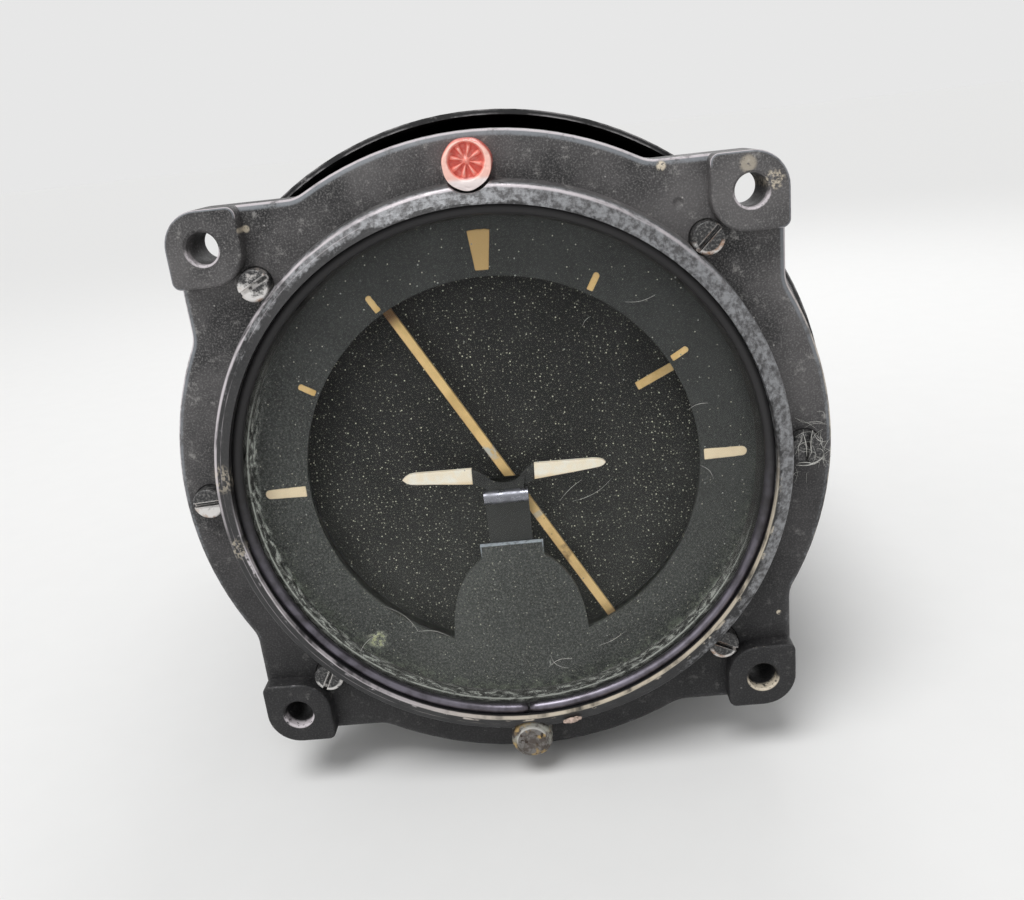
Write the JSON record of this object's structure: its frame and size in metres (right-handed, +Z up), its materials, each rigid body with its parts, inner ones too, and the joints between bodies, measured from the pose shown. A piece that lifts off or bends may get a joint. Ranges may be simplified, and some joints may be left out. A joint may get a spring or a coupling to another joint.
{
  "type": "aircraft gyro horizon",
  "caption": "Air-driven artificial horizon for an aircraft panel: gyro in a roll gimbal, horizon bar, sliding aircraft mark and a round glass in a lugged cast front.",
  "frame": {"origin": "on the roll axis, in the plane of the four mounting pads' front faces", "axes": "+X right for someone facing the dial, +Y rearward along the roll axis, +Z up"},
  "size_m": [0.127, 0.1784, 0.127],
  "materials": {
    "black_casting": "crackle enamel, worn at its edges",
    "mask_paint": "dull dark grey paint",
    "black_paint": "dull black paint",
    "mark_paint": "aged luminous cream paint",
    "aircraft_paint": "cream paint, black between the wings",
    "plated_steel": "dulled plating",
    "steel": "ground",
    "brass": "tarnished",
    "cast_aluminium": "as cast",
    "aluminium": "machined",
    "glass": "clear, dusty",
    "gasket": "black",
    "wax": "red sealing wax",
    "felt": "pressed felt"
  },
  "bodies": {
    "instrument": {"bezel_flange": "black_casting", "cover_glass": "glass", "glass_gasket": "gasket", "snap_ring": "plated_steel", "dial_mask": "mask_paint", "index_marks": "mark_paint", "flange_screws": "plated_steel", "inspection_seal": "wax", "knob_gland": "brass", "slide_rivets": "brass", "case_gasket": "gasket", "main_case": "cast_aluminium", "case_cover": "cast_aluminium", "cover_screws": "steel", "port_bosses": "brass", "shroud_posts": "steel", "rear_bearing_housing": "aluminium", "spindle_bearings": "steel", "housing_screws": "steel", "inlet_filter": "felt", "filter_ring": "aluminium", "suction_union": "brass", "port_plug": "brass", "rear_shroud": "black_paint", "shroud_screws": "plated_steel"},
    "knob": {"adjusting_knob": "brass", "knob_shaft": "steel"},
    "aircraft": {"aircraft_slide": "black_paint", "slide_crossbar": "steel", "miniature_aircraft": "aircraft_paint"},
    "gimbal": {"roll_gimbal": "aluminium", "bearing_spacer": "steel", "spindle_nut": "steel", "roll_stop_pin": "steel", "pitch_bearings": "steel", "bearing_plates": "brass", "sky_disc": "black_paint", "bank_pointer": "mark_paint", "disc_screws": "steel", "bar_pivot_screw": "steel", "balance_nuts": "brass"},
    "bar_arm": {"horizon_bar": "mark_paint", "bar_counterweight": "brass"},
    "gyro": {"rotor_housing": "aluminium", "housing_lid": "aluminium", "lid_screws": "steel", "guide_pin": "steel", "rotor_bearings": "steel", "bearing_caps": "brass", "air_jets": "brass", "erection_body": "aluminium", "body_screws": "steel"},
    "rotor_body": {"rotor": "brass", "rotor_shaft": "steel"},
    "lateral_vanes": {"vane_pair_lateral": "brass"},
    "fore_aft_vanes": {"vane_pair_fore_aft": "brass"}
  },
  "joints": [
    {"name": "knob_turn", "type": "hinge", "parent": "instrument", "child": "knob", "pos_m": [0, 0, -0.0546], "axis": [0, -1, 0], "range_deg": [-60, 60]},
    {"name": "aircraft_height", "type": "slide", "parent": "instrument", "child": "aircraft", "axis": [0, 0, 1], "range_m": [-0.00172, 0.00172]},
    {"name": "roll", "type": "hinge", "parent": "instrument", "child": "gimbal", "pos_m": [0, 0.064, 0], "axis": [0, 1, 0], "range_deg": [-161, 39]},
    {"name": "pitch", "type": "hinge", "parent": "gimbal", "child": "gyro", "pos_m": [0, 0.064, 0], "axis": [0.4848, 0, -0.8746], "range_deg": [-60, 60]},
    {"name": "bar_tilt", "type": "hinge", "parent": "gimbal", "child": "bar_arm", "pos_m": [-0.02211, 0.106, 0.03988], "axis": [0.4848, 0, -0.8746], "range_deg": [-12, 12]},
    {"name": "rotor_spin", "type": "hinge", "parent": "gyro", "child": "rotor_body", "pos_m": [0, 0.064, 0], "axis": [0.8746, 0, 0.4848], "continuous": true},
    {"name": "lateral_vane_swing", "type": "hinge", "parent": "gyro", "child": "lateral_vanes", "pos_m": [-0.02449, 0.064, -0.01357], "axis": [0.4848, 0, -0.8746], "range_deg": [-12, 12]},
    {"name": "fore_aft_vane_swing", "type": "hinge", "parent": "gyro", "child": "fore_aft_vanes", "pos_m": [-0.02641, 0.064, -0.01464], "axis": [0, 1, 0], "range_deg": [-12, 12]}
  ],
  "couplings": [
    {"joint": "knob_turn", "follows": "aircraft_height", "rad_per_m": 609.76},
    {"joint": "bar_tilt", "follows": "pitch", "ratio": 0.2}
  ]
}
